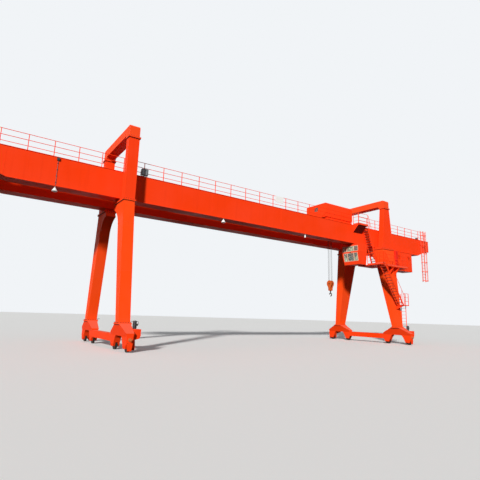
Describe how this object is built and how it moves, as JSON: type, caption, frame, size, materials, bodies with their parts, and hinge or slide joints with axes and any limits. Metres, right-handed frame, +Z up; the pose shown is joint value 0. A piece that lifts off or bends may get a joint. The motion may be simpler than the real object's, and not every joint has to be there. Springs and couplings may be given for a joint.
{
  "type": "rail-mounted gantry crane",
  "caption": "Double-girder gantry crane with overhanging girder ends, splayed legs, arches over the girders, a covered trolley, hook block, cab, stairs and rail wheels",
  "frame": {"origin": "on the rail head level, below the middle of the span and midway between the girders", "axes": "+X along the girders towards the cab end, +Y along the crane rails away from the cab and stairs, +Z up"},
  "size_m": [38.9, 9, 12.47],
  "materials": {
    "orange_paint": "brushed and rolled gloss enamel on welded plate",
    "railing_paint": "faded enamel on square tube",
    "dark_enamel": "dark enamel on motor and lamp housings",
    "white_enamel": "white enamel on sheet",
    "rail_steel": "rolled steel, worn bright on the head",
    "wheel_iron": "cast wheels, machined treads",
    "hook_steel": "forged steel, oiled",
    "rope_wire": "greased wire rope",
    "buffer_polyurethane": "cast polyurethane",
    "cab_glass": "flat clear glass"
  },
  "bodies": {
    "crane": {"front_girder": "orange_paint", "rear_girder": "orange_paint", "trolley_rails": "rail_steel", "left_end_beam": "orange_paint", "right_end_beam": "orange_paint", "left_front_column": "orange_paint", "left_rear_column": "orange_paint", "right_front_column": "orange_paint", "right_rear_column": "orange_paint", "left_arch": "orange_paint", "right_arch": "orange_paint", "left_front_leg": "orange_paint", "left_rear_leg": "orange_paint", "right_front_leg": "orange_paint", "right_rear_leg": "orange_paint", "left_sill_beam": "orange_paint", "right_sill_beam": "orange_paint", "left_front_saddle": "orange_paint", "left_rear_saddle": "orange_paint", "right_front_saddle": "orange_paint", "right_rear_saddle": "orange_paint", "left_travel_drives": "orange_paint", "right_travel_drives": "orange_paint", "travel_motors": "dark_enamel", "rail_guards": "orange_paint", "travel_buffers": "buffer_polyurethane", "front_railing": "railing_paint", "rear_railing": "railing_paint", "cab_body": "orange_paint", "cab_windows": "cab_glass", "cab_door": "orange_paint", "operator_seat": "dark_enamel", "service_landing": "orange_paint", "landing_railing": "railing_paint", "electrical_room": "orange_paint", "upper_platform": "orange_paint", "platform_railing": "railing_paint", "upper_stair": "orange_paint", "middle_stair": "orange_paint", "lower_ladder": "orange_paint", "girder_lamps": "white_enamel", "floodlight": "dark_enamel", "sign_board": "white_enamel", "end_ladder": "railing_paint"},
    "trolley": {"trolley_frame": "orange_paint", "trolley_house": "orange_paint"},
    "trolley_drive_axle": {"trolley_drive_wheels": "wheel_iron"},
    "trolley_idle_axle": {"trolley_idle_wheels": "wheel_iron"},
    "hook_block_body": {"hook_block": "orange_paint", "block_sheaves": "wheel_iron", "hoist_ropes": "rope_wire"},
    "hook_body": {"hook": "hook_steel"},
    "left_front_outer_wheel_body": {"left_front_outer_wheel": "wheel_iron"},
    "left_front_inner_wheel_body": {"left_front_inner_wheel": "wheel_iron"},
    "left_rear_outer_wheel_body": {"left_rear_outer_wheel": "wheel_iron"},
    "left_rear_inner_wheel_body": {"left_rear_inner_wheel": "wheel_iron"},
    "right_front_outer_wheel_body": {"right_front_outer_wheel": "wheel_iron"},
    "right_front_inner_wheel_body": {"right_front_inner_wheel": "wheel_iron"},
    "right_rear_outer_wheel_body": {"right_rear_outer_wheel": "wheel_iron"},
    "right_rear_inner_wheel_body": {"right_rear_inner_wheel": "wheel_iron"}
  },
  "joints": [
    {"name": "trolley_travel", "type": "slide", "parent": "crane", "child": "trolley", "axis": [1, 0, 0], "range_m": [-23.9, 9.9]},
    {"name": "hoist", "type": "slide", "parent": "trolley", "child": "hook_block_body", "axis": [0, 0, 1], "range_m": [-3.4, 3], "deforming": ["hoist_ropes"]},
    {"name": "hook_swivel", "type": "hinge", "parent": "hook_block_body", "child": "hook_body", "pos_m": [7, 0, 4.25], "axis": [0, 0, 1], "continuous": true},
    {"name": "trolley_drive_spin", "type": "hinge", "parent": "trolley", "child": "trolley_drive_axle", "pos_m": [8.15, 0, 10.0803], "axis": [0, 1, 0], "continuous": true},
    {"name": "trolley_idle_spin", "type": "hinge", "parent": "trolley", "child": "trolley_idle_axle", "pos_m": [5.85, 0, 10.0803], "axis": [0, 1, 0], "continuous": true},
    {"name": "left_front_outer_wheel_spin", "type": "hinge", "parent": "crane", "child": "left_front_outer_wheel_body", "pos_m": [-11.65, -4.04, 0.25], "axis": [1, 0, 0], "continuous": true},
    {"name": "left_front_inner_wheel_spin", "type": "hinge", "parent": "crane", "child": "left_front_inner_wheel_body", "pos_m": [-11.65, -2.14, 0.25], "axis": [1, 0, 0], "continuous": true},
    {"name": "left_rear_outer_wheel_spin", "type": "hinge", "parent": "crane", "child": "left_rear_outer_wheel_body", "pos_m": [-11.65, 4.04, 0.25], "axis": [1, 0, 0], "continuous": true},
    {"name": "left_rear_inner_wheel_spin", "type": "hinge", "parent": "crane", "child": "left_rear_inner_wheel_body", "pos_m": [-11.65, 2.14, 0.25], "axis": [1, 0, 0], "continuous": true},
    {"name": "right_front_outer_wheel_spin", "type": "hinge", "parent": "crane", "child": "right_front_outer_wheel_body", "pos_m": [11.65, -4.04, 0.25], "axis": [1, 0, 0], "continuous": true},
    {"name": "right_front_inner_wheel_spin", "type": "hinge", "parent": "crane", "child": "right_front_inner_wheel_body", "pos_m": [11.65, -2.14, 0.25], "axis": [1, 0, 0], "continuous": true},
    {"name": "right_rear_outer_wheel_spin", "type": "hinge", "parent": "crane", "child": "right_rear_outer_wheel_body", "pos_m": [11.65, 4.04, 0.25], "axis": [1, 0, 0], "continuous": true},
    {"name": "right_rear_inner_wheel_spin", "type": "hinge", "parent": "crane", "child": "right_rear_inner_wheel_body", "pos_m": [11.65, 2.14, 0.25], "axis": [1, 0, 0], "continuous": true}
  ]
}
